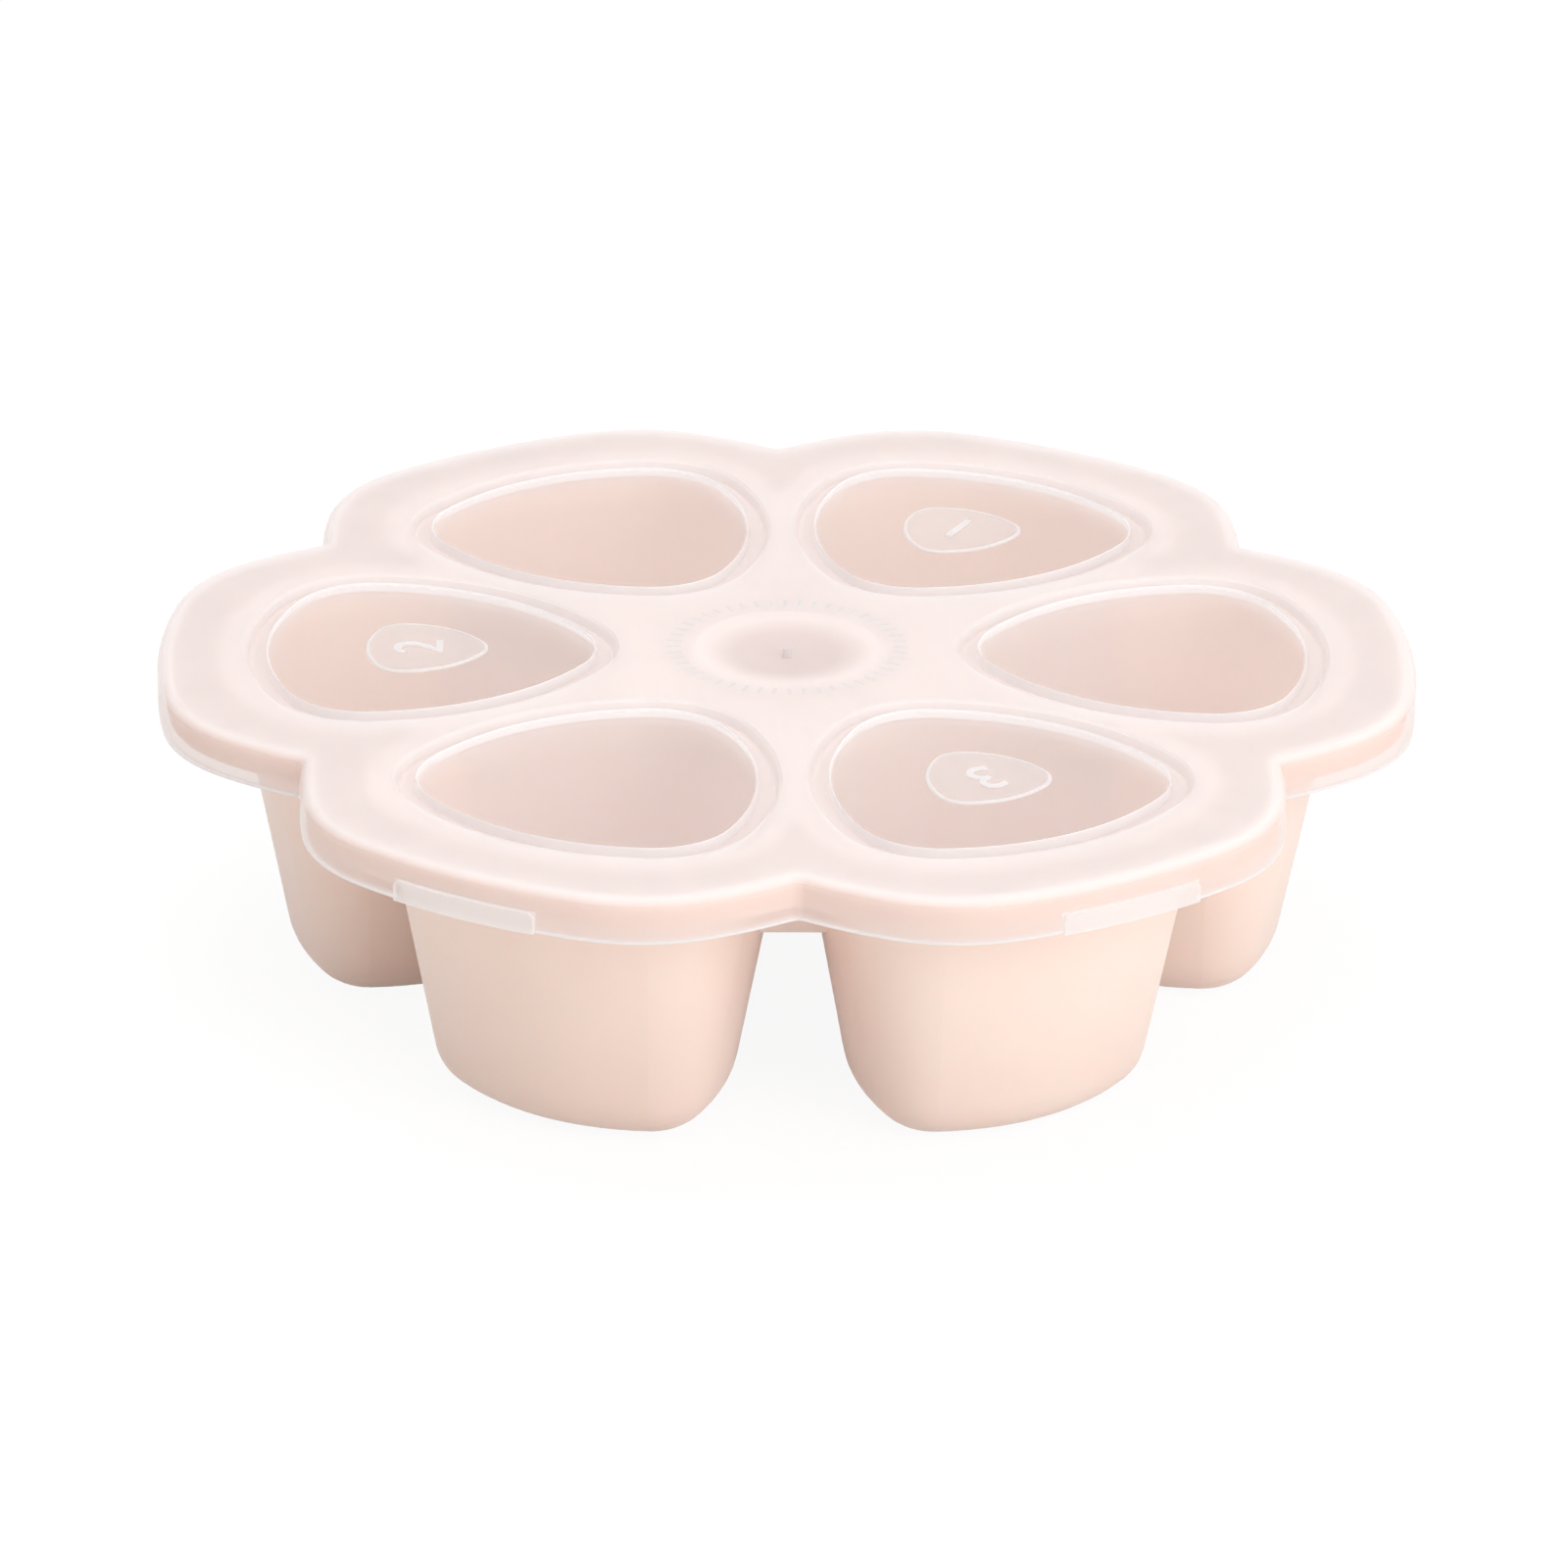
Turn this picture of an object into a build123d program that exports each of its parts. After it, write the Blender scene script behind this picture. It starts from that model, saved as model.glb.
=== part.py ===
from build123d import *
from math import asin, atan2, cos, degrees, radians, sin, sqrt, tan
import os

# Six-cup freezer tray for baby food: one soft silicone moulding with six cups in a
# flower shape, and one thin clip-on lid that closes all six. Millimetres and degrees.
# The origin is the middle of the footprint on the table, and Z is up.

# Both pieces: the flower outline, one lobe for each cup
CUP_COUNT = 6
TOTAL_HEIGHT = 56.0
TIP_RADIUS = 107.5
SHOULDER_RADIUS = 30.0
SHOULDER_START = 11.0
FLANK_RADIUS = 75.0
FLANK_START = 52.0
NOTCH_RADIUS = 2.0

# The rounded triangle that windows, grooves and cups share, with one corner to the middle
WINDOW_DISTANCE = 63.2
CORNER_DISTANCE = 16.5
CORNER_RADIUS = 14.0
SIDE_RADIUS = 44.9

# Lid
LID_WALL = 1.0
SKIRT_HEIGHT = 7.7
LID_EDGE_RADIUS = 2.0
GROOVE_WIDTH = 3.6
GROOVE_DEPTH = 1.8
GROOVE_INNER_DRAFT = 8.0
GROOVE_EDGE_CHAMFER = 0.4
WINDOW_RECESS = 0.5
DISH_RADIUS = 14.7
DISH_DEPTH = 1.8
DISH_EDGE_RADIUS = 10.0
NUB_RADIUS = 1.0
NUB_TOP_RADIUS = 0.7
NUB_HEIGHT = 1.5
TAB_CUPS = (4, 5)
TAB_WIDTH = 26.0
TAB_HEIGHT = 3.6
TAB_THICKNESS = 0.8
TAB_CORNER_RADIUS = 1.2

# Tray
DECK_THICKNESS = 2.0
RIM_HEIGHT = 4.8
RIM_THICKNESS = 2.0
RIM_EDGE_RADIUS = 1.2
CUP_WALL = 1.8
MOUTH_DRAFT = 17.5
MOUTH_DEPTH = 6.0
CUP_DRAFT = 10.5
FOOT_RADIUS = 9.5
BRIDGE_DISTANCE = 66.0
BRIDGE_THICKNESS = 2.0
BRIDGE_DEPTH = 21.5

# Running gap between the lid and the tray
CLEARANCE = 0.3

LOBE_ANGLE = 360 / CUP_COUNT
DECK_TOP = TOTAL_HEIGHT - LID_WALL
MOUTH_OFFSET = GROOVE_WIDTH + LID_WALL + CLEARANCE
RIM_INSET = LID_WALL + CLEARANCE


def polar(radius, angle):
    """Point at a distance and an angle from the origin."""
    return Vector(radius * cos(radians(angle)), radius * sin(radians(angle)))


def around(shape, cups=range(CUP_COUNT)):
    """Copies of a shape that is drawn on the +X lobe, one on each named lobe."""
    return [Rot(0, 0, LOBE_ANGLE * cup) * shape for cup in cups]


def flower(inset=0.0):
    """Lobed outline, moved inwards by a constant distance."""
    tip_centre = Vector(0, 0)
    shoulder_centre = polar(TIP_RADIUS - SHOULDER_RADIUS, SHOULDER_START)
    flank_centre = shoulder_centre - polar(FLANK_RADIUS - SHOULDER_RADIUS, FLANK_START)
    flank = FLANK_RADIUS - inset
    # Two flanks meet in a notch on the ray halfway between their lobes
    ray = polar(1, LOBE_ANGLE / 2)
    along = flank_centre.dot(ray)
    notch_distance = along + sqrt(flank**2 - flank_centre.length**2 + along**2)
    to_notch = ray * notch_distance - flank_centre
    flank_end = degrees(atan2(to_notch.Y, to_notch.X))
    half_lobe = [
        CenterArc(tip_centre, TIP_RADIUS - inset, 0, SHOULDER_START),
        CenterArc(shoulder_centre, SHOULDER_RADIUS - inset, SHOULDER_START, FLANK_START - SHOULDER_START),
        CenterArc(flank_centre, flank, FLANK_START, flank_end - FLANK_START),
    ]
    lobe = half_lobe + [mirror(arc, about=Plane.XZ) for arc in half_lobe]
    edges = [copy for arc in lobe for copy in around(arc)]
    outline = make_face(edges)
    notches = outline.vertices().group_by(lambda vertex: round(Vector(vertex).length, 2))[0]
    return fillet(notches, NOTCH_RADIUS + inset)


def triangle(offset=0.0):
    """Rounded triangle on the +X lobe, moved outwards by a constant distance."""
    centre = Vector(WINDOW_DISTANCE, 0)
    reach = SIDE_RADIUS - CORNER_RADIUS
    half_chord = CORNER_DISTANCE * sin(radians(60))
    side_half_angle = degrees(asin(half_chord / reach))
    side_centre_distance = sqrt(reach**2 - half_chord**2) - CORNER_DISTANCE * cos(radians(60))
    edges = []
    for corner in (60, 180, 300):
        side = corner + 60
        edges += [
            CenterArc(
                centre + polar(CORNER_DISTANCE, corner),
                CORNER_RADIUS + offset,
                corner - 60 + side_half_angle,
                120 - 2 * side_half_angle,
            ),
            CenterArc(
                centre - polar(side_centre_distance, side),
                SIDE_RADIUS + offset,
                side - side_half_angle,
                2 * side_half_angle,
            ),
        ]
    return make_face(edges)


def prism(face, low, high):
    """Straight block of an outline between two heights."""
    return extrude(Pos(0, 0, low) * face, amount=high - low)


def tapered(face, high, low, draft):
    """Block that narrows downwards by a draft angle from an outline at its top."""
    return extrude(Pos(0, 0, high) * face, amount=low - high, taper=draft)


def cup_block(offset, high, low, bottom_radius):
    """Solid shape of a cup: a flared mouth, a drafted body and a rounded bottom."""
    flare_end = DECK_TOP - MOUTH_DEPTH
    body_offset = offset - (high - flare_end) * tan(radians(MOUTH_DRAFT))
    mouth = tapered(triangle(offset), high, flare_end, MOUTH_DRAFT)
    body = tapered(triangle(body_offset), flare_end, low, CUP_DRAFT)
    bottom = body.faces().sort_by(Axis.Z)[0]
    return mouth + fillet(bottom.edges(), bottom_radius)


def dish_ball(offset=0.0):
    """Ball that the shallow dish in the middle of the lid is a part of, grown by a distance."""
    radius = (DISH_RADIUS**2 + DISH_DEPTH**2) / (2 * DISH_DEPTH)
    return Pos(0, 0, TOTAL_HEIGHT - DISH_DEPTH + radius) * Sphere(radius + offset)


def dish_boss(offset, top):
    """Part of that ball below a height."""
    return dish_ball(offset) & Pos(0, 0, top) * Box(
        4 * DISH_RADIUS, 4 * DISH_RADIUS, 4 * DISH_DEPTH + offset, align=(Align.CENTER, Align.CENTER, Align.MAX)
    )


def lift_tab():
    """Thick pad on the lower part of the skirt, at the tip of the +X lobe."""
    skirt_bottom = TOTAL_HEIGHT - SKIRT_HEIGHT
    face = Rectangle(TAB_WIDTH, 2 * TAB_HEIGHT)
    face = fillet(face.vertices(), TAB_CORNER_RADIUS)
    through = extrude(Plane.YZ * face, amount=TIP_RADIUS + 2 * TAB_THICKNESS)
    through = Pos(0, 0, skirt_bottom) * through
    return prism(flower(-TAB_THICKNESS), skirt_bottom, skirt_bottom + TAB_HEIGHT) & through


def silicone_tray():
    """Deck with a turned-down rim, six cups, a middle dimple and bridges between the cups."""
    deck_bottom = DECK_TOP - DECK_THICKNESS
    rim_bottom = DECK_TOP - RIM_HEIGHT
    block = prism(flower(RIM_INSET), rim_bottom, DECK_TOP)
    top_edges = block.faces().sort_by(Axis.Z)[-1].edges()
    block = fillet(top_edges, RIM_EDGE_RADIUS)
    tray = block - prism(flower(RIM_INSET + RIM_THICKNESS), rim_bottom, deck_bottom)

    # Dimple that the dish of the lid sits in
    dimple_offset = LID_WALL + CLEARANCE
    tray += dish_boss(dimple_offset + DECK_THICKNESS, deck_bottom)
    tray -= dish_ball(dimple_offset)

    # Each bridge runs from one cup's axis to the next, and the cups are hollowed after it
    tray += around(cup_block(MOUTH_OFFSET + CUP_WALL, DECK_TOP, 0, FOOT_RADIUS))
    bridge_length = 2 * WINDOW_DISTANCE * sin(radians(LOBE_ANGLE / 2))
    bridge = prism(Rectangle(BRIDGE_THICKNESS, bridge_length), DECK_TOP - BRIDGE_DEPTH, deck_bottom)
    tray += around(Rot(0, 0, LOBE_ANGLE / 2) * Pos(BRIDGE_DISTANCE, 0, 0) * bridge)
    tray -= around(cup_block(MOUTH_OFFSET, DECK_TOP, CUP_WALL, FOOT_RADIUS - CUP_WALL))
    return tray


def lid():
    """Thin moulding: a skirt round the rim, and over each cup a window in a sealing groove."""
    web_bottom = TOTAL_HEIGHT - LID_WALL
    skirt_bottom = TOTAL_HEIGHT - SKIRT_HEIGHT
    block = prism(flower(), skirt_bottom, TOTAL_HEIGHT)
    block = fillet(block.faces().sort_by(Axis.Z)[-1].edges(), LID_EDGE_RADIUS)
    block += around(lift_tab(), TAB_CUPS)
    cavity = prism(flower(LID_WALL), skirt_bottom, web_bottom)
    cavity = fillet(cavity.faces().sort_by(Axis.Z)[-1].edges(), LID_EDGE_RADIUS - LID_WALL)
    shell = block - cavity

    # Sealing rib under the web, the groove above it, and the window inside it
    rib_bottom = web_bottom - GROOVE_DEPTH
    groove_bottom = TOTAL_HEIGHT - GROOVE_DEPTH
    window_top = TOTAL_HEIGHT - WINDOW_RECESS
    rib = tapered(triangle(GROOVE_WIDTH + LID_WALL), web_bottom, rib_bottom, MOUTH_DRAFT)
    groove = tapered(triangle(GROOVE_WIDTH), TOTAL_HEIGHT, groove_bottom, MOUTH_DRAFT)
    island = tapered(triangle(), TOTAL_HEIGHT, groove_bottom, -GROOVE_INNER_DRAFT)
    recess = prism(triangle(), window_top, TOTAL_HEIGHT)
    pocket = tapered(triangle(-LID_WALL), window_top - LID_WALL, rib_bottom, -GROOVE_INNER_DRAFT)
    shell += around(rib)
    shell -= around(groove - island + recess)
    shell -= around(pocket)
    web = shell.faces().sort_by(Axis.Z)[-1]
    rims = [edge for wire in web.inner_wires() for edge in wire.edges()]
    windows = shell.faces().filter_by_position(Axis.Z, window_top, window_top)
    rims += [edge for window in windows for edge in window.outer_wire().edges()]
    shell = chamfer(rims, GROOVE_EDGE_CHAMFER)

    # Dish in the middle, with the nub where the mould was filled
    shell += dish_boss(LID_WALL, web_bottom)
    shell -= dish_ball()
    bowl = shell.faces().filter_by(GeomType.SPHERE).sort_by(Axis.Z)[-1]
    shell = fillet(bowl.outer_wire().edges(), DISH_EDGE_RADIUS)
    root = LID_WALL / 2
    nub = Cone(NUB_RADIUS, NUB_TOP_RADIUS, root + NUB_HEIGHT, align=(Align.CENTER, Align.CENTER, Align.MIN))
    shell += Pos(0, 0, TOTAL_HEIGHT - DISH_DEPTH - root) * nub
    return shell


os.makedirs("parts", exist_ok=True)
export_step(silicone_tray(), "parts/silicone_tray.step")
export_step(lid(), "parts/lid.step")
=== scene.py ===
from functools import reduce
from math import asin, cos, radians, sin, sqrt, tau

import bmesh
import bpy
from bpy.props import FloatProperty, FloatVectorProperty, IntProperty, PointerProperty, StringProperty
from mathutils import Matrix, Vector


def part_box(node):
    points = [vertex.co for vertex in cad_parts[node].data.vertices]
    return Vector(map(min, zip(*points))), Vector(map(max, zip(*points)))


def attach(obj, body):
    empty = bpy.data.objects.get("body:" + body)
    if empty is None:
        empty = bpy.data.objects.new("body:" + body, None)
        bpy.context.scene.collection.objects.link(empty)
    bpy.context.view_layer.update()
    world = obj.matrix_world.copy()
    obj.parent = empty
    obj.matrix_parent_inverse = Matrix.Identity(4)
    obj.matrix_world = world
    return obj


bl_info = {
    "name": "Freezer Tray Looks",
    "version": (1, 0, 0),
    "blender": (4, 5, 0),
    "location": "View3D > Sidebar > Freezer Tray",
    "description": "Finishes, number plates, tick ring and studio for a six-cup freezer tray",
    "category": "Object",
}

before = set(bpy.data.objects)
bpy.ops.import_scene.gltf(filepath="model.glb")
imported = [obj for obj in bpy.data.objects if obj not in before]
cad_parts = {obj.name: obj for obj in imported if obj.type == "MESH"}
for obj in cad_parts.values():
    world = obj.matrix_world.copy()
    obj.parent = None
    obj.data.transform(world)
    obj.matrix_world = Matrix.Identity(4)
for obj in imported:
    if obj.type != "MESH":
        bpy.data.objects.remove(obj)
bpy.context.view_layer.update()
LID_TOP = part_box("lid")[1].z
TRAY_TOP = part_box("silicone_tray")[1].z

MM = 0.001
WINDOW_COUNT = 6
# A piece that sits on the lid is sunk this far into it, so that no two faces coincide
SINK = 0.12 * MM

# Noise patterns: the larger the number, the finer the pattern
SILICONE_CLOUD, SILICONE_GRAIN = 28.0, 2600.0
LID_CLOUD, LID_WAVE, LID_FROST = 35.0, 70.0, 3200.0
FLOOR_CLOUD = 6.0
# How much the roughness of the silicone and of the lid varies, up and down
SILICONE_WEAR, LID_WEAR = 0.05, 0.06
# How far red, green and blue light goes into the silicone, as shares of its light depth
SILICONE_REACH = (0.8, 0.62, 0.5)

# The zones of the lid's finish fade into each other over this far
BLUR = 0.4 * MM
# Outwards from the edge of a window: the white ring in its sealing groove, a highlight painted in as extra
# haze, and the start of the skirt
RING_HIGHLIGHT_START, RING_HIGHLIGHT_END, RING_HIGHLIGHT_END_BLUR = -0.1 * MM, 2.8 * MM, 0.5 * MM
SKIRT_START, SKIRT_START_BLUR = 9 * MM, 1 * MM
# The web starts this far past the groove
WEB_MARGIN = 0.1 * MM
# Depth under the lid's top by which its rounded edge has turned into the skirt
SKIRT_DEPTH, SKIRT_DEPTH_BLUR = 1.3 * MM, 1.1 * MM
# Up from the foot of the skirt: the white hem, a painted highlight, and where the tray's pink painted on
# the skirt ends
HEM_HIGHLIGHT_HEIGHT, SKIRT_TRAY_PINK_END = 0.2 * MM, 0.4 * MM
PAD_BLUR = 0.2 * MM
# A skin whose normal points further down than this is the lid's inner one
INNER_SKIN, INNER_SKIN_BLUR = -0.02, 0.1
# The painted shade of the dish ends at this share of its radius
DISH_SHADE_END, DISH_SHADE_BLUR = 1.1, 0.5
# A plate's white edge, a painted highlight, starts this far inside its outline
PLATE_HIGHLIGHT_EDGE, PLATE_HIGHLIGHT_EDGE_BLUR = -0.35 * MM, 0.45 * MM

# Turn to the first plate and from each to the next, in degrees: every other window has one
FIRST_PLATE, NEXT_PLATE = 60, 120
# Rounding of the top edges, as a share of how far a plate or a tick stands up
PLATE_ROUNDING, TICK_ROUNDING = 0.8, 0.9
NUMBER_BEVEL = 0.03 * MM
# Height of a numeral as a share of its font size
NUMERAL_SHARE = 0.7

# Place and width of the two lamps, in metres
KEY_PLACE, KEY_SIZE = (0.70, -0.80, 0.55), 0.7
TOP_PLACE, TOP_SIZE = (-0.10, 0.10, 1.3), 1.2
# The floor reaches this far each way, a hair below the cups so that no two faces coincide
FLOOR_REACH = 6.0
FLOOR_PAINT = (0.90, 0.89, 0.88, 1), (0.93, 0.92, 0.91, 1)
FLOOR_GAP = 0.05 * MM
# Light that falls on the open floor, as a share of white
FLOOR_LIGHT = 0.8
# How far the camera is shifted to frame the tray: to the left, and downwards
FRAME_LEFT, FRAME_DOWN = 0.56 * MM, 23.5 * MM
SENSOR_WIDTH = 36.0


# ---------------------------------------------------------------- settings


class SiliconeSettings(bpy.types.PropertyGroup):
    colour: FloatVectorProperty(
        name="Colour", description="Peach-pink of the silicone", subtype="COLOR", size=3, min=0, max=1,
        default=(0.95, 0.755, 0.685),
    )
    mottle: FloatProperty(
        name="Mottle", description="How much the colour varies over the moulding", subtype="FACTOR",
        min=0, max=1, default=0.05,
    )
    roughness: FloatProperty(
        name="Roughness", description="Matte skin of the silicone", subtype="FACTOR", min=0, max=1,
        default=0.55,
    )
    softness: FloatProperty(
        name="Softness", description="Share of the light that goes into the silicone", subtype="FACTOR",
        min=0, max=1, default=0.65,
    )
    depth: FloatProperty(
        name="Light Depth", description="How deep light goes into the silicone", unit="LENGTH", min=0,
        default=4.5 * MM,
    )
    gloss: FloatProperty(
        name="Gloss", description="Strength of the reflections", subtype="FACTOR", min=0, max=1,
        default=0.35,
    )
    grain: FloatProperty(
        name="Grain Depth", description="Depth of the fine grain of the skin", unit="LENGTH", min=0,
        default=0.02 * MM,
    )


class LidSettings(bpy.types.PropertyGroup):
    colour: FloatVectorProperty(
        name="Colour", description="Milky tint of the lid", subtype="COLOR", size=3, min=0, max=1,
        default=(0.965, 0.968, 0.975),
    )
    # Painted light: the skirt is tinted with the pink that light from the tray carries through it
    skirt_tray_pink_colour: FloatVectorProperty(
        name="Skirt Colour", description="Tint of the skirt, which takes up the pink of the tray",
        subtype="COLOR", size=3, min=0, max=1, default=(0.96, 0.87, 0.835),
    )
    # Painted shade: the shallow dish is tinted darker, as shade would fall in it
    dish_shade_colour: FloatVectorProperty(
        name="Dish Colour", description="Tint of the thicker plastic of the dish", subtype="COLOR", size=3,
        min=0, max=1, default=(0.82, 0.79, 0.79),
    )
    window_haze: FloatProperty(
        name="Window Haze", description="How much the upper skin of a window hides what is under it",
        subtype="FACTOR", min=0, max=1, default=0.24,
    )
    # Painted highlight: more haze makes the white ring round a window whiter
    ring_highlight_haze: FloatProperty(
        name="Ring Haze", description="The same for the white ring in the groove round a window",
        subtype="FACTOR", min=0, max=1, default=0.92,
    )
    groove_haze: FloatProperty(
        name="Groove Haze", description="The same for the outer foot of the sealing groove",
        subtype="FACTOR", min=0, max=1, default=0.7,
    )
    web_haze: FloatProperty(
        name="Web Haze", description="The same for the frosted web between the windows and the dish",
        subtype="FACTOR", min=0, max=1, default=0.7,
    )
    skirt_haze: FloatProperty(
        name="Skirt Haze", description="The same for the polished skirt", subtype="FACTOR", min=0, max=1,
        default=0.3,
    )
    # Painted highlight: a thin white band along the lower edge of the skirt
    hem_highlight_haze: FloatProperty(
        name="Hem Haze", description="The same for the lower edge of the skirt", subtype="FACTOR", min=0,
        max=1, default=0.8,
    )
    pad_haze: FloatProperty(
        name="Pad Haze", description="The same for the two thick grip pads on the skirt", subtype="FACTOR",
        min=0, max=1, default=0.38,
    )
    inner_haze: FloatProperty(
        name="Inner Haze", description="Haze of the lid's inner skin as a share of that of the outer skin",
        subtype="FACTOR", min=0, max=1, default=0.25,
    )
    glow: FloatProperty(
        name="Glow", description="Share of a skin's haze that scatters light through it", subtype="FACTOR",
        min=0, max=1, default=0.6,
    )
    roughness: FloatProperty(
        name="Roughness", description="Satin skin of the lid", subtype="FACTOR", min=0, max=1, default=0.32,
    )
    gloss: FloatProperty(
        name="Gloss", description="Strength of the reflections", subtype="FACTOR", min=0, max=1,
        default=0.35,
    )
    mottle: FloatProperty(
        name="Mottle", description="How much the tint varies over the lid", subtype="FACTOR",
        min=0, max=1, default=0.02,
    )
    ripple: FloatProperty(
        name="Ripple Depth", description="Depth of the slow waves in the moulded sheet", unit="LENGTH",
        min=0, default=0.06 * MM,
    )
    frost: FloatProperty(
        name="Frost Depth", description="Depth of the fine grain of the skin", unit="LENGTH", min=0,
        default=0.01 * MM,
    )
    window_distance: FloatProperty(
        name="Window Distance", description="From the middle of the lid to the middle of a window",
        unit="LENGTH", default=63.2 * MM,
    )
    corner_distance: FloatProperty(
        name="Corner Distance", description="From a window's middle to the centre of a corner's arc",
        unit="LENGTH", default=16.5 * MM,
    )
    corner_radius: FloatProperty(
        name="Corner Radius", description="Radius of a window's corners", unit="LENGTH", default=14 * MM,
    )
    side_radius: FloatProperty(
        name="Side Radius", description="Radius of a window's bowed sides", unit="LENGTH",
        default=44.9 * MM,
    )
    groove_width: FloatProperty(
        name="Groove Width", description="Width of the sealing groove round a window", unit="LENGTH",
        default=3.6 * MM,
    )
    skirt_height: FloatProperty(
        name="Skirt Height", description="Height of the skirt", unit="LENGTH", default=7.7 * MM,
    )
    pad_width: FloatProperty(
        name="Pad Width", description="Width of a grip pad", unit="LENGTH", default=26 * MM,
    )
    pad_height: FloatProperty(
        name="Pad Height", description="Height of a grip pad", unit="LENGTH", default=3.6 * MM,
    )
    dish_radius: FloatProperty(
        name="Dish Radius", description="Radius of the shallow dish in the middle", unit="LENGTH",
        default=14.7 * MM,
    )


class PlateSettings(bpy.types.PropertyGroup):
    numbers: StringProperty(
        name="Numbers", description="The number on each plate, from the back right one round to the left",
        default="123",
    )
    distance: FloatProperty(
        name="Distance", description="From the middle of the lid to the middle of a plate", unit="LENGTH",
        default=62.5 * MM,
    )
    corner_distance: FloatProperty(
        name="Corner Distance", description="From a plate's middle to the centre of a corner's arc",
        unit="LENGTH", default=6.1 * MM,
    )
    corner_radius: FloatProperty(
        name="Corner Radius", description="Radius of a plate's corners", unit="LENGTH", default=5.2 * MM,
    )
    side_radius: FloatProperty(
        name="Side Radius", description="Radius of a plate's bowed sides", unit="LENGTH", default=16.6 * MM,
    )
    recess: FloatProperty(
        name="Window Recess", description="How far the windows lie below the top of the lid",
        unit="LENGTH", default=0.5 * MM,
    )
    thickness: FloatProperty(
        name="Thickness", description="How far a plate stands up from its window", unit="LENGTH",
        default=0.32 * MM,
    )
    letter_height: FloatProperty(
        name="Number Height", description="Height of the raised numbers", unit="LENGTH", default=8.5 * MM,
    )
    letter_relief: FloatProperty(
        name="Number Relief", description="How far the numbers stand up from their plates", unit="LENGTH",
        default=0.16 * MM,
    )
    haze: FloatProperty(
        name="Plate Haze", description="How much a plate hides what is under it", subtype="FACTOR", min=0,
        max=1, default=0.15,
    )
    # Painted highlight: the whiter edge of a plate
    edge_highlight_haze: FloatProperty(
        name="Edge Haze", description="The same for the edge of a plate", subtype="FACTOR", min=0, max=1,
        default=0.6,
    )
    letter_haze: FloatProperty(
        name="Number Haze", description="How much a number hides what is under it", subtype="FACTOR", min=0,
        max=1, default=0.45,
    )


class TickSettings(bpy.types.PropertyGroup):
    count: IntProperty(name="Ticks", description="Number of flat ticks round the dish", min=3, default=48)
    radius: FloatProperty(
        name="Radius", description="From the middle of the lid to the middle of a tick", unit="LENGTH",
        default=19.4 * MM,
    )
    length: FloatProperty(name="Length", description="Length of a tick", unit="LENGTH", default=2.6 * MM)
    width: FloatProperty(name="Width", description="Width of a tick", unit="LENGTH", default=0.6 * MM)
    relief: FloatProperty(
        name="Relief", description="How far a tick stands up from the web", unit="LENGTH",
        default=0.02 * MM,
    )
    shade: FloatProperty(
        name="Shade", description="How much darker a tick is than the web", subtype="FACTOR", min=0, max=1,
        default=0.1,
    )


class StudioSettings(bpy.types.PropertyGroup):
    azimuth: FloatProperty(
        name="Azimuth", description="Turn of the camera round the tray", subtype="ANGLE",
        default=radians(-1.37),
    )
    elevation: FloatProperty(
        name="Elevation", description="Height of the camera as an angle", subtype="ANGLE",
        default=radians(24.054),
    )
    roll: FloatProperty(
        name="Roll", description="Lean of the camera", subtype="ANGLE", default=radians(0.679),
    )
    distance: FloatProperty(
        name="Distance", description="From the camera to the middle of the lid", unit="LENGTH",
        default=1.28,
    )
    lens: FloatProperty(name="Lens", description="Focal length in millimetres", default=171.72)
    ambient: FloatProperty(name="Ambient", description="Level of the soft light all round", default=0.42)
    key_power: FloatProperty(
        name="Key Power", description="Large soft lamp on the right, in watts", default=5.9,
    )
    top_power: FloatProperty(name="Top Power", description="Soft lamp above, in watts", default=12.0)
    shadow: FloatProperty(
        name="Shadow", description="How much of the tray's shadow the white floor shows", subtype="FACTOR",
        min=0, max=1, default=0.1,
    )


SETTINGS = {
    "tray_silicone": SiliconeSettings,
    "tray_lid": LidSettings,
    "tray_plates": PlateSettings,
    "tray_ticks": TickSettings,
    "tray_studio": StudioSettings,
}


# ---------------------------------------------------------------- helpers


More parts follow.
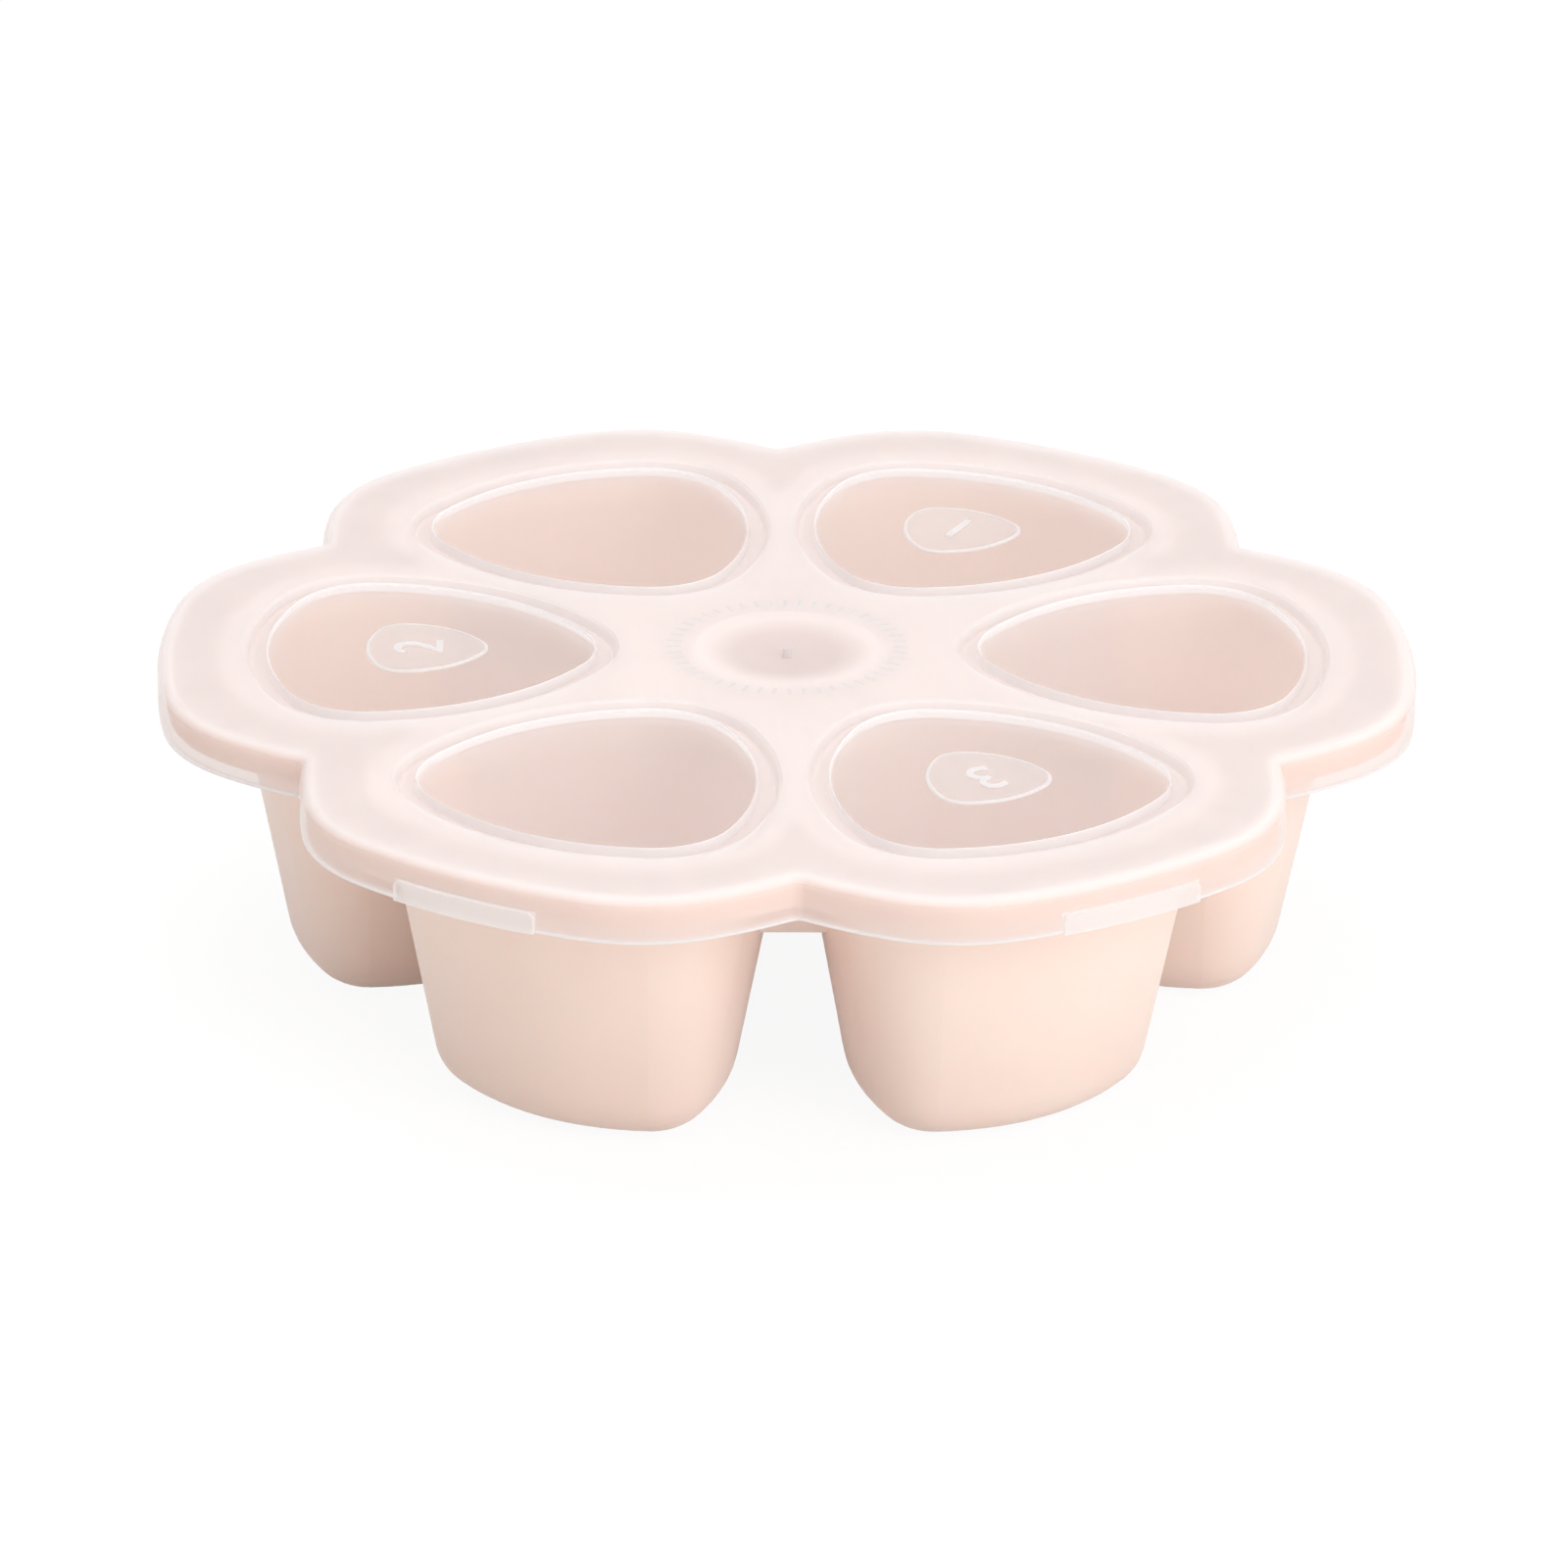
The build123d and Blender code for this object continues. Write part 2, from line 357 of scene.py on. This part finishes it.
class Finish:
    """Nodes of a material or of the world, added and joined one line at a time."""

    def __init__(self, owner):
        self.owner = owner
        owner.use_nodes = True
        self.tree = owner.node_tree
        self.tree.nodes.clear()

    def node(self, kind, inputs=(), **settings):
        node = self.tree.nodes.new(kind)
        for name, value in settings.items():
            setattr(node, name, value)
        for socket, value in dict(inputs).items():
            self.fill(node.inputs[socket], value)
        return node

    def fill(self, socket, value):
        """Join a socket to a result, or set it to a value."""
        if isinstance(value, bpy.types.NodeSocket):
            self.tree.links.new(value, socket)
        else:
            socket.default_value = value

    def math(self, operation, *values):
        """Result of a Math node on sockets and numbers."""
        node = self.node("ShaderNodeMath", dict(enumerate(values)), operation=operation)
        return node.outputs[0]

    def fade(self, value, low, high, start, end):
        """Goes from start to end while a value goes from low to high."""
        return self.node("ShaderNodeMapRange", {
            "Value": value, "From Min": low, "From Max": high, "To Min": start, "To Max": end,
        }).outputs["Result"]

    def past(self, value, border, blur=BLUR):
        """0 before a border and 1 past it, fading in over the blur before it."""
        return self.fade(value, border - blur, border, 0, 1)

    def before(self, value, border, blur=BLUR):
        """1 before a border and 0 past it."""
        return self.fade(value, border - blur, border, 1, 0)

    def product(self, *values):
        """Values multiplied together."""
        return reduce(lambda first, second: self.math("MULTIPLY", first, second), values)

    def noise(self, place, scale, detail=2.0):
        """Cloudy pattern that goes from 0 to 1."""
        inputs = {"Vector": place, "Scale": scale, "Detail": detail}
        return self.node("ShaderNodeTexNoise", inputs).outputs["Fac"]

    def uneven(self, cloud, value, amount):
        """A value that varies up and down by an amount, following a cloudy pattern."""
        return self.fade(cloud, 0, 1, value - amount, value + amount)

    def bump(self, height, distance, strength, normal=None):
        """Normal of a skin raised by a distance where a height is 1."""
        inputs = {"Height": height, "Distance": distance, "Strength": strength}
        if normal:
            inputs["Normal"] = normal
        return self.node("ShaderNodeBump", inputs).outputs["Normal"]

    def mix(self, factor, low, high):
        """A number or colour between two others."""
        number = not isinstance(high, tuple)
        node = self.tree.nodes.new("ShaderNodeMix")
        node.data_type = "FLOAT" if number else "RGBA"
        sockets = [socket for socket in node.inputs if socket.enabled and socket.name in "AB"]
        for socket, value in zip((node.inputs["Factor"], *sockets), (factor, low, high)):
            self.fill(socket, value)
        return next(socket for socket in node.outputs if socket.enabled)

    def layer(self, kind, *shaders, factor=None):
        """Shader made of two others, mixed by a factor or added up."""
        node = self.node(kind, {"Fac": factor} if factor is not None else {})
        for socket, shader in zip(list(node.inputs)[-2:], shaders):
            self.tree.links.new(shader.outputs[0], socket)
        return node

    def length(self, x, y):
        """Length of a flat vector."""
        return self.math("SQRT", self.math("ADD", self.math("MULTIPLY", x, x), self.math("MULTIPLY", y, y)))


def colour(rgb):
    """Colour with full alpha."""
    return (*rgb, 1.0)


def spread(base, amount):
    """Two colours, one a little darker and one a little lighter than a base colour."""
    return [colour(max(0.0, min(1.0, c * (1 + sign * amount))) for c in base) for sign in (-1, 1)]


def add_mesh(name, build, material):
    """Piece on the lid whose mesh is made by a function that fills a bmesh."""
    mesh = bpy.data.meshes.new(name)
    bm = bmesh.new()
    build(bm)
    bmesh.ops.recalc_face_normals(bm, faces=bm.faces)
    bm.to_mesh(mesh)
    bm.free()
    place_on_lid(name, mesh, material)


def place_on_lid(name, mesh, material):
    """Object with a mesh and a finish that moves with the lid."""
    mesh.materials.clear()
    mesh.materials.append(material)
    mesh.shade_smooth()
    piece = bpy.data.objects.new(name, mesh)
    bpy.context.scene.collection.objects.link(piece)
    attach(piece, "lid")


def pillow(bm, outlines):
    """Closed form through a stack of outlines, each a ring of as many points."""
    rings = [[bm.verts.new(point) for point in outline] for outline in outlines]
    count = len(rings[0])
    for low, high in zip(rings, rings[1:]):
        for i in range(count):
            j = (i + 1) % count
            bm.faces.new((low[i], low[j], high[j], high[i]))
    bm.faces.new(rings[0][::-1])
    bm.faces.new(rings[-1])


def bowed_side(settings):
    """Half angle of a rounded triangle's bowed side, and how far behind the middle its centre lies."""
    reach = settings.side_radius - settings.corner_radius
    half_chord = settings.corner_distance * sin(radians(60))
    behind = sqrt(reach**2 - half_chord**2) - settings.corner_distance * cos(radians(60))
    return asin(half_chord / reach), behind


def rounded_triangle(settings, offset, steps=14):
    """Points of a plate's outline about its middle, one corner towards the middle of the lid."""
    side_half, side_centre = bowed_side(settings)
    arcs = []
    for corner in (radians(60), radians(180), radians(300)):
        side = corner + radians(60)
        centre = Vector((cos(corner), sin(corner))) * settings.corner_distance
        arcs.append((centre, settings.corner_radius + offset, corner, radians(60) - side_half))
        centre = Vector((cos(side), sin(side))) * -side_centre
        arcs.append((centre, settings.side_radius + offset, side, side_half))
    points = []
    for centre, radius, middle, half in arcs:
        for i in range(steps):
            angle = middle - half + 2 * half * i / steps
            points.append(centre + Vector((cos(angle), sin(angle))) * radius)
    return points


def rounded_edge(height, edge):
    """Height and inset of each ring of a low form whose top edge is rounded."""
    turns = [radians(angle) for angle in (0, 22.5, 45, 67.5, 90)]
    return [(height - edge + edge * sin(turn), -edge + edge * cos(turn)) for turn in turns]


# ---------------------------------------------------------------- finishes


def silicone_finish(settings):
    """Matte, slightly translucent silicone with a fine grain."""
    finish = Finish(bpy.data.materials.new("peach_silicone"))
    place = finish.node("ShaderNodeTexCoord").outputs["Object"]
    cloud = finish.noise(place, SILICONE_CLOUD, detail=3.0)
    grain = finish.noise(place, SILICONE_GRAIN)
    shader = finish.node("ShaderNodeBsdfPrincipled", {
        "Base Color": finish.mix(cloud, *spread(settings.colour, settings.mottle)),
        "Roughness": finish.uneven(cloud, settings.roughness, SILICONE_WEAR),
        "Normal": finish.bump(grain, settings.grain, strength=0.6),
        "Subsurface Weight": settings.softness,
        "Subsurface Radius": SILICONE_REACH,
        "Subsurface Scale": settings.depth,
        "Specular IOR Level": settings.gloss,
    })
    finish.node("ShaderNodeOutputMaterial", {"Surface": shader.outputs["BSDF"]})
    return finish.owner


def on_one_lobe(finish, place):
    """Place folded onto half a lobe: along the lobe's middle line, and away from it."""
    math = finish.math
    across = finish.node("ShaderNodeSeparateXYZ", {"Vector": place})
    sector = tau / WINDOW_COUNT
    turn = math("ARCTAN2", across.outputs["Y"], across.outputs["X"])
    turn = math("ABSOLUTE", math("WRAP", turn, sector / 2, -sector / 2))
    radius = finish.length(across.outputs["X"], across.outputs["Y"])
    return math("MULTIPLY", radius, math("COSINE", turn)), math("MULTIPLY", radius, math("SINE", turn))


def triangle_edge(finish, along, aside, settings):
    """Distance outwards from the edge of a rounded triangle, negative inside it."""
    math, length = finish.math, finish.length
    # Its three corners are folded onto one, which points along x
    radius, turn = length(along, aside), math("ARCTAN2", aside, along)
    turn = math("ABSOLUTE", math("SUBTRACT", math("WRAP", turn, tau / 3, 0.0), tau / 6))
    x = math("MULTIPLY", radius, math("COSINE", turn))
    y = math("MULTIPLY", radius, math("SINE", turn))
    side_half, side_centre = bowed_side(settings)
    past_corner = math("SUBTRACT", x, settings.corner_distance)
    from_corner = math("SUBTRACT", length(past_corner, y), settings.corner_radius)
    x = math("ADD", x, side_centre * cos(radians(60)))
    y_side = math("ADD", y, side_centre * sin(radians(60)))
    from_side = math("SUBTRACT", length(x, y_side), settings.side_radius)
    at_corner = math("LESS_THAN", math("ARCTAN2", y, past_corner), radians(60) - side_half)
    return finish.mix(at_corner, from_side, from_corner)


def facing_up(finish):
    """Upward part of a skin's own normal, from whichever side the skin is met."""
    normal = finish.node("ShaderNodeTexCoord").outputs["Normal"]
    up = finish.node("ShaderNodeSeparateXYZ", {"Vector": normal}).outputs["Z"]
    from_behind = finish.node("ShaderNodeNewGeometry").outputs["Backfacing"]
    return finish.math("MULTIPLY", up, finish.fade(from_behind, 0, 1, 1, -1))


def lid_zones_and_painted_light(finish, place, tint, settings):
    """How much a skin of the lid hides, and its tint, by where on the lid it is, with painted highlights on
    the ring and hem, painted shade in the dish and the tray's pink painted on the skirt.
    """
    math, mix, past, before = finish.math, finish.mix, finish.past, finish.before
    along, aside = on_one_lobe(finish, place)
    across = finish.node("ShaderNodeSeparateXYZ", {"Vector": place})
    depth = math("SUBTRACT", LID_TOP, across.outputs["Z"])
    edge = triangle_edge(finish, math("SUBTRACT", along, settings.window_distance), aside, settings)
    hem = settings.skirt_height

    # From the inside outwards: window, white ring in the groove (a painted highlight), outer foot of the
    # groove, web
    haze = mix(past(edge, RING_HIGHLIGHT_START), settings.window_haze, settings.ring_highlight_haze)
    haze = mix(past(edge, RING_HIGHLIGHT_END, RING_HIGHLIGHT_END_BLUR), haze, settings.groove_haze)
    haze = mix(past(edge, settings.groove_width + WEB_MARGIN), haze, settings.web_haze)
    outer_skin = past(facing_up(finish), INNER_SKIN, INNER_SKIN_BLUR)
    haze = math("MULTIPLY", haze, mix(outer_skin, settings.inner_haze, 1.0))

    # The skirt begins below the lid's rounded edge, and the pads are low on its two front lobes
    low = finish.product(
        past(depth, SKIRT_DEPTH, SKIRT_DEPTH_BLUR),
        past(edge, SKIRT_START, SKIRT_START_BLUR),
        math("GREATER_THAN", along, settings.window_distance),
    )
    pad = finish.product(
        before(aside, settings.pad_width / 2 + PAD_BLUR, PAD_BLUR),
        past(depth, hem - settings.pad_height, PAD_BLUR),
        math("LESS_THAN", across.outputs["Y"], -settings.window_distance / 2),
    )
    # The hem at the foot of the skirt gets a painted highlight
    skirt = mix(past(depth, hem - HEM_HIGHLIGHT_HEIGHT), settings.skirt_haze, settings.hem_highlight_haze)
    haze = mix(low, haze, mix(pad, skirt, settings.pad_haze))

    # Painted shade: the dish in the middle is tinted darker
    out = math("DIVIDE", finish.length(along, aside), settings.dish_radius)
    in_dish_shade = before(out, DISH_SHADE_END, DISH_SHADE_BLUR)
    tint = mix(in_dish_shade, tint, colour(settings.dish_shade_colour))
    # Painted light: the skirt, but not its pads or hem, is tinted with the tray's pink that shows through
    # it
    in_skirt_tray_pink = finish.product(low, before(depth, hem - SKIRT_TRAY_PINK_END), math("SUBTRACT", 1.0, pad))
    return haze, mix(in_skirt_tray_pink, tint, colour(settings.skirt_tray_pink_colour))


def plate_zones_with_edge_highlight(finish, place, tint, settings):
    """The same for a plate, whose edge is whiter: a painted highlight."""
    along, aside = on_one_lobe(finish, place)
    edge = triangle_edge(finish, finish.math("SUBTRACT", along, settings.distance), aside, settings)
    # Painted highlight along the plate's edge
    highlight_rim = finish.past(edge, PLATE_HIGHLIGHT_EDGE, PLATE_HIGHLIGHT_EDGE_BLUR)
    return finish.mix(highlight_rim, settings.haze, settings.edge_highlight_haze), tint


def milky_plastic(name, settings, haze, shade=0.0, zones=None):
    """Milky soft plastic with a satin skin, its haze even or, with zones, different in each; the zones may
    also paint highlights and shade into haze and tint.
    """
    finish = Finish(bpy.data.materials.new(name))
    place = finish.node("ShaderNodeTexCoord").outputs["Object"]
    cloud = finish.noise(place, LID_CLOUD, detail=3.0)
    wave = finish.noise(place, LID_WAVE, detail=1.0)
    frost = finish.noise(place, LID_FROST)
    base = [channel * (1 - shade) for channel in settings.colour]
    tint = finish.mix(cloud, *spread(base, settings.mottle))
    normal = finish.bump(wave, settings.ripple, strength=0.5)
    normal = finish.bump(frost, settings.frost, strength=0.5, normal=normal)
    glow = haze * settings.glow
    if zones:
        find, shape = zones
        haze, tint = find(finish, place, tint, shape)
        glow = finish.math("MULTIPLY", haze, settings.glow)
    skin = finish.node("ShaderNodeBsdfPrincipled", {
        "Base Color": tint,
        "Roughness": finish.uneven(cloud, settings.roughness, LID_WEAR),
        "Normal": normal,
        "Alpha": haze,
        "Specular IOR Level": settings.gloss,
    })
    through = finish.node("ShaderNodeBsdfTranslucent", {"Color": tint, "Normal": normal})
    both = finish.layer("ShaderNodeMixShader", skin, through, factor=glow)
    finish.node("ShaderNodeOutputMaterial", {"Surface": both.outputs[0]})
    return finish.owner


# ---------------------------------------------------------------- operators


class TRAY_OT_silicone(bpy.types.Operator):
    """Gives the silicone moulding its matte peach-pink finish"""

    bl_idname = "freezer_tray.silicone"
    bl_label = "Finish Silicone Tray"

    def execute(self, context):
        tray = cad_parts["silicone_tray"]
        material = silicone_finish(context.scene.tray_silicone)
        for slot in tray.material_slots:
            slot.material = material
        return {"FINISHED"}


class TRAY_OT_lid(bpy.types.Operator):
    """Gives the lid its milky finish: clearer windows, white rings round them painted as highlights, a
    frosted web, painted shade in the dish, the tray's pink painted on the skirt and a painted highlight on
    its hem
    """

    bl_idname = "freezer_tray.lid"
    bl_label = "Finish Lid"

    def execute(self, context):
        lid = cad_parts["lid"]
        settings = context.scene.tray_lid
        zones = (lid_zones_and_painted_light, settings)
        material = milky_plastic("milky_lid_painted_light_plastic", settings, settings.web_haze, zones=zones)
        for slot in lid.material_slots:
            slot.material = material
        return {"FINISHED"}


class TRAY_OT_plates(bpy.types.Operator):
    """Adds the raised plates on three windows, each with a plain number"""

    bl_idname = "freezer_tray.plates"
    bl_label = "Add Number Plates"

    def execute(self, context):
        settings, lid = context.scene.tray_plates, context.scene.tray_lid
        frosted = milky_plastic("frosted_plate_edge_highlight_plastic", lid, settings.haze, zones=(plate_zones_with_edge_highlight, settings))
        raised = milky_plastic("raised_number_plastic", lid, settings.letter_haze)
        window_top = LID_TOP - settings.recess
        rounding = settings.thickness * PLATE_ROUNDING
        levels = [(-SINK, 0.0), *rounded_edge(settings.thickness, rounding)]
        for number, character in enumerate(settings.numbers):
            turn = Matrix.Rotation(radians(FIRST_PLATE + NEXT_PLATE * number), 4, "Z")
            turn @= Matrix.Translation((settings.distance, 0, window_top))

            def build(bm):
                rings = [(rounded_triangle(settings, inset), z) for z, inset in levels]
                pillow(bm, [[turn @ Vector((p.x, p.y, z)) for p in ring] for ring, z in rings])

            add_mesh(f"window_plate_{character}", build, frosted)
            self.add_number(settings, character, turn, raised)
        return {"FINISHED"}

    def add_number(self, settings, character, turn, material):
        """Raised number in the middle of a plate, its foot towards the middle of the lid."""
        name = f"plate_number_{character}"
        curve = bpy.data.curves.new(name, "FONT")
        curve.body = character
        curve.size = settings.letter_height / NUMERAL_SHARE
        curve.align_x = "CENTER"
        curve.align_y = "CENTER"
        curve.extrude = (settings.letter_relief + SINK) / 2 - NUMBER_BEVEL
        curve.bevel_depth = NUMBER_BEVEL
        curve.bevel_resolution = 1
        curve.resolution_u = 6
        text = bpy.data.objects.new("text", curve)
        bpy.context.scene.collection.objects.link(text)
        bpy.context.view_layer.update()
        mesh = bpy.data.meshes.new_from_object(text)
        bpy.data.objects.remove(text)
        mesh.name = name
        lift = settings.thickness + (settings.letter_relief - SINK) / 2
        mesh.transform(turn @ Matrix.Translation((0, 0, lift)) @ Matrix.Rotation(radians(-90), 4, "Z"))
        place_on_lid(name, mesh, material)


class TRAY_OT_ticks(bpy.types.Operator):
    """Adds the ring of flat ticks round the dish in the middle of the lid"""

    bl_idname = "freezer_tray.ticks"
    bl_label = "Add Tick Ring"

    def execute(self, context):
        settings, lid = context.scene.tray_ticks, context.scene.tray_lid
        material = milky_plastic("shaded_tick_plastic", lid, lid.web_haze, settings.shade)
        rounding = settings.relief * TICK_ROUNDING
        levels = [(-SINK, 0.0), *rounded_edge(settings.relief, rounding)]

        def build(bm):
            for i in range(settings.count):
                turn = Matrix.Rotation(tau * i / settings.count, 4, "Z")
                turn @= Matrix.Translation((settings.radius, 0, LID_TOP))
                pillow(bm, [self.outline(settings, inset, z, turn) for z, inset in levels])

        add_mesh("tick_ring", build, material)
        return {"FINISHED"}

    def outline(self, settings, inset, z, turn, steps=6):
        """Round-ended bar that points away from the middle of the lid."""
        half = settings.width / 2 + inset
        reach = (settings.length - settings.width) / 2
        points = []
        for end in (1, -1):
            for i in range(steps + 1):
                angle = radians(-90 * end + 180 * i / steps)
                points.append(turn @ Vector((reach * end + half * cos(angle), half * sin(angle), z)))
        return points


class TRAY_OT_studio(bpy.types.Operator):
    """Adds the white floor, the soft lamps and the camera"""

    bl_idname = "freezer_tray.studio"
    bl_label = "Add Studio"

    def execute(self, context):
        settings = context.scene.tray_studio
        self.add_floor(settings)
        self.add_world(context, settings)
        self.add_lamp("key_lamp", KEY_PLACE, KEY_SIZE, settings.key_power)
        self.add_lamp("top_lamp", TOP_PLACE, TOP_SIZE, settings.top_power)
        self.add_camera(context, settings)
        context.scene.view_settings.view_transform = "Standard"
        return {"FINISHED"}

    def add_floor(self, settings):
        finish = Finish(bpy.data.materials.new("white_floor"))
        place = finish.node("ShaderNodeTexCoord").outputs["Object"]
        paint = finish.mix(finish.noise(place, FLOOR_CLOUD), *FLOOR_PAINT)
        lit = finish.node("ShaderNodeBsdfDiffuse", {"Color": paint})
        shaded = finish.node("ShaderNodeBsdfDiffuse", {"Color": colour([settings.shadow] * 3)})
        white = finish.node("ShaderNodeEmission", {"Strength": 1.0 - FLOOR_LIGHT * settings.shadow})
        shown = finish.layer("ShaderNodeAddShader", shaded, white)
        floor = finish.layer("ShaderNodeMixShader", lit, shown, factor=self.seen_as_background(finish))
        finish.node("ShaderNodeOutputMaterial", {"Surface": floor.outputs[0]})
        mesh = bpy.data.meshes.new("floor")
        bm = bmesh.new()
        bmesh.ops.create_grid(bm, x_segments=8, y_segments=8, size=FLOOR_REACH)
        bmesh.ops.translate(bm, verts=bm.verts, vec=(0, 0, -FLOOR_GAP))
        bm.to_mesh(mesh)
        bm.free()
        mesh.materials.append(finish.owner)
        floor = bpy.data.objects.new("floor", mesh)
        bpy.context.scene.collection.objects.link(floor)

    def seen_as_background(self, finish):
        """1 for rays from the camera, and for those that a glossy or clear surface sends on."""
        path = finish.node("ShaderNodeLightPath").outputs
        shiny = finish.math("MAXIMUM", path["Is Glossy Ray"], path["Is Transmission Ray"])
        return finish.math("MAXIMUM", path["Is Camera Ray"], shiny)

    def add_world(self, context, settings):
        sky = Finish(bpy.data.worlds.new("studio"))
        strength = sky.mix(self.seen_as_background(sky), settings.ambient, 1.0)
        white = sky.node("ShaderNodeBackground", {"Color": colour((1, 1, 1)), "Strength": strength})
        sky.node("ShaderNodeOutputWorld", {"Surface": white.outputs[0]})
        context.scene.world = sky.owner

    def add_lamp(self, name, place, size, power):
        lamp = bpy.data.lights.new(name, "AREA")
        lamp.size = size
        lamp.energy = power
        holder = bpy.data.objects.new(name, lamp)
        aim = Vector((0, 0, TRAY_TOP / 2)) - Vector(place)
        holder.location = place
        holder.rotation_euler = aim.to_track_quat("-Z", "Y").to_euler()
        bpy.context.scene.collection.objects.link(holder)

    def add_camera(self, context, settings):
        azimuth, elevation, roll = settings.azimuth, settings.elevation, settings.roll
        back = Vector((sin(azimuth) * cos(elevation), -cos(azimuth) * cos(elevation), sin(elevation)))
        right = Vector((cos(azimuth), sin(azimuth), 0))
        up = back.cross(right)
        turned_right = right * cos(roll) + up * sin(roll)
        turned_up = up * cos(roll) - right * sin(roll)
        place = Vector((0, 0, LID_TOP)) + back * settings.distance
        place -= turned_right * FRAME_LEFT + turned_up * FRAME_DOWN
        data = bpy.data.cameras.new("camera")
        data.lens = settings.lens
        data.sensor_width = SENSOR_WIDTH
        camera = bpy.data.objects.new("camera", data)
        axes = Matrix((turned_right, turned_up, back)).transposed().to_4x4()
        camera.matrix_world = Matrix.Translation(place) @ axes
        context.scene.collection.objects.link(camera)
        context.scene.camera = camera


STEPS = (TRAY_OT_silicone, TRAY_OT_lid, TRAY_OT_plates, TRAY_OT_ticks, TRAY_OT_studio)


class TRAY_PT_panel(bpy.types.Panel):
    """Sidebar panel with every step and its settings"""

    bl_idname = "TRAY_PT_panel"
    bl_label = "Freezer Tray"
    bl_space_type = "VIEW_3D"
    bl_region_type = "UI"
    bl_category = "Freezer Tray"

    def draw(self, context):
        for step in STEPS:
            self.layout.operator(step.bl_idname)
        for name in SETTINGS:
            box = self.layout.box()
            settings = getattr(context.scene, name)
            for setting in settings.__annotations__:
                box.prop(settings, setting)


def register():
    for group in SETTINGS.values():
        bpy.utils.register_class(group)
    for name, group in SETTINGS.items():
        setattr(bpy.types.Scene, name, PointerProperty(type=group))
    for kind in (*STEPS, TRAY_PT_panel):
        bpy.utils.register_class(kind)


def unregister():
    for kind in (TRAY_PT_panel, *reversed(STEPS)):
        bpy.utils.unregister_class(kind)
    for name in SETTINGS:
        delattr(bpy.types.Scene, name)
    for group in reversed(SETTINGS.values()):
        bpy.utils.unregister_class(group)


def main():
    register()
    bpy.ops.freezer_tray.silicone()
    bpy.ops.freezer_tray.lid()
    bpy.ops.freezer_tray.plates()
    bpy.ops.freezer_tray.ticks()
    bpy.ops.freezer_tray.studio()


if __name__ == "__main__":
    main()
